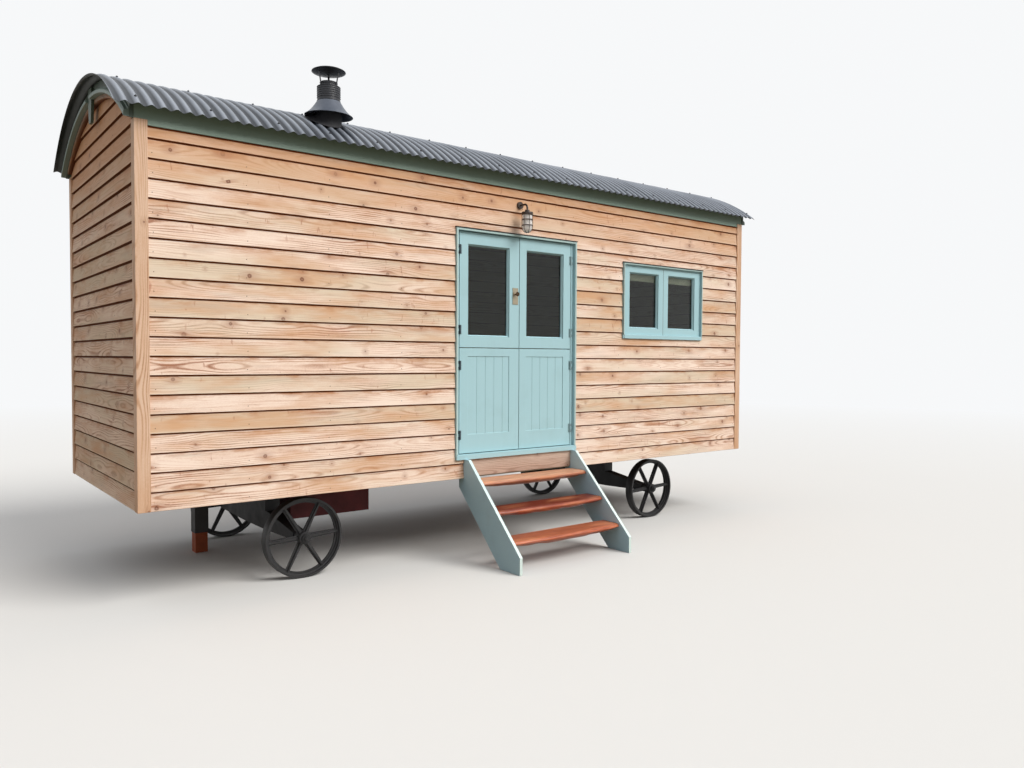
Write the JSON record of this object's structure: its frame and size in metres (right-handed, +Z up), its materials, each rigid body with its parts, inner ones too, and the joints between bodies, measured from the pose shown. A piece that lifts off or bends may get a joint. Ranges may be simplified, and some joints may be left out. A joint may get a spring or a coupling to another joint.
{
  "type": "shepherds hut",
  "caption": "Timber shepherds hut with a barrel roof of corrugated steel, stable doors, casement window, flue, wall lamp and steps, on spoked iron wheels.",
  "frame": {"origin": "ground level at the middle of the footprint, steps and eaves included", "axes": "+X along the long side, the door side faces -Y, +Z up"},
  "size_m": [6.4656, 3.039, 3.8162],
  "materials": {
    "larch": "sawn boards, bare",
    "post_timber": "planed, bare",
    "floor_timber": "planed boards",
    "blue_paint": "satin paint",
    "trim_paint": "satin paint",
    "step_paint": "satin paint",
    "tread_timber": "oiled, waney edged",
    "roof_lining": "boards",
    "roof_steel": "satin, weathered",
    "flue_steel": "matt black",
    "skirt_steel": "satin grey",
    "lamp_metal": "matt black",
    "lamp_glass": "frosted",
    "pane": "clear, dark behind",
    "hinge_steel": "dull",
    "brass": "satin",
    "black_steel": "matt black",
    "iron": "black paint, worn",
    "red_oxide": "red oxide paint, matt"
  },
  "bodies": {
    "hut": {"floor": "floor_timber", "front_wall_left": "larch", "front_wall_at_door": "larch", "front_wall_right": "larch", "rear_wall": "larch", "left_end_wall": "larch", "right_end_wall": "larch", "corner_posts": "post_timber", "door_frame": "blue_paint", "door_sill": "blue_paint", "hinge_pins": "hinge_steel", "window_frame": "blue_paint", "casements": "blue_paint", "window_glass": "pane", "roof_deck": "roof_lining", "roof_sheet": "roof_steel", "eaves_boards": "trim_paint", "barge_boards": "trim_paint", "flue_pipe": "flue_steel", "flue_skirt": "skirt_steel", "flue_cowl": "flue_steel", "wall_lamp": "lamp_metal", "lamp_glass": "lamp_glass", "chassis_rails": "black_steel", "cross_members": "black_steel", "axles": "black_steel", "props": "red_oxide", "underfloor_box": "red_oxide", "step_stringers": "step_paint", "step_treads": "tread_timber"},
    "lower_left_leaf": {"leaf_lower_left": "blue_paint", "hinges_lower_left": "hinge_steel"},
    "lower_right_leaf": {"leaf_lower_right": "blue_paint", "hinges_lower_right": "hinge_steel"},
    "upper_left_leaf": {"leaf_upper_left": "blue_paint", "glass_upper_left": "pane", "hinges_upper_left": "hinge_steel", "door_handle": "brass"},
    "upper_right_leaf": {"leaf_upper_right": "blue_paint", "glass_upper_right": "pane", "hinges_upper_right": "hinge_steel"},
    "front_left_wheel": {"wheel_front_left": "iron"},
    "front_right_wheel": {"wheel_front_right": "iron"},
    "rear_left_wheel": {"wheel_rear_left": "iron"},
    "rear_right_wheel": {"wheel_rear_right": "iron"}
  },
  "joints": [
    {"name": "lower_left_hinge", "type": "hinge", "parent": "hut", "child": "lower_left_leaf", "pos_m": [-0.60428, -0.76752, 1.29], "axis": [0, 0, -1], "range_deg": [0, 145]},
    {"name": "lower_right_hinge", "type": "hinge", "parent": "hut", "child": "lower_right_leaf", "pos_m": [0.61372, -0.76752, 1.29], "axis": [0, 0, 1], "range_deg": [0, 145]},
    {"name": "upper_left_hinge", "type": "hinge", "parent": "hut", "child": "upper_left_leaf", "pos_m": [-0.60428, -0.76752, 2.2], "axis": [0, 0, -1], "range_deg": [0, 145]},
    {"name": "upper_right_hinge", "type": "hinge", "parent": "hut", "child": "upper_right_leaf", "pos_m": [0.61372, -0.76752, 2.2], "axis": [0, 0, 1], "range_deg": [0, 145]},
    {"name": "front_left_axle", "type": "hinge", "parent": "hut", "child": "front_left_wheel", "pos_m": [-1.86878, -0.54052, 0.298], "axis": [0, 1, 0], "continuous": true},
    {"name": "front_right_axle", "type": "hinge", "parent": "hut", "child": "front_right_wheel", "pos_m": [1.93521, -0.54052, 0.298], "axis": [0, 1, 0], "continuous": true},
    {"name": "rear_left_axle", "type": "hinge", "parent": "hut", "child": "rear_left_wheel", "pos_m": [-1.86878, 1.17348, 0.298], "axis": [0, 1, 0], "continuous": true},
    {"name": "rear_right_axle", "type": "hinge", "parent": "hut", "child": "rear_right_wheel", "pos_m": [1.93521, 1.17348, 0.298], "axis": [0, 1, 0], "continuous": true}
  ]
}
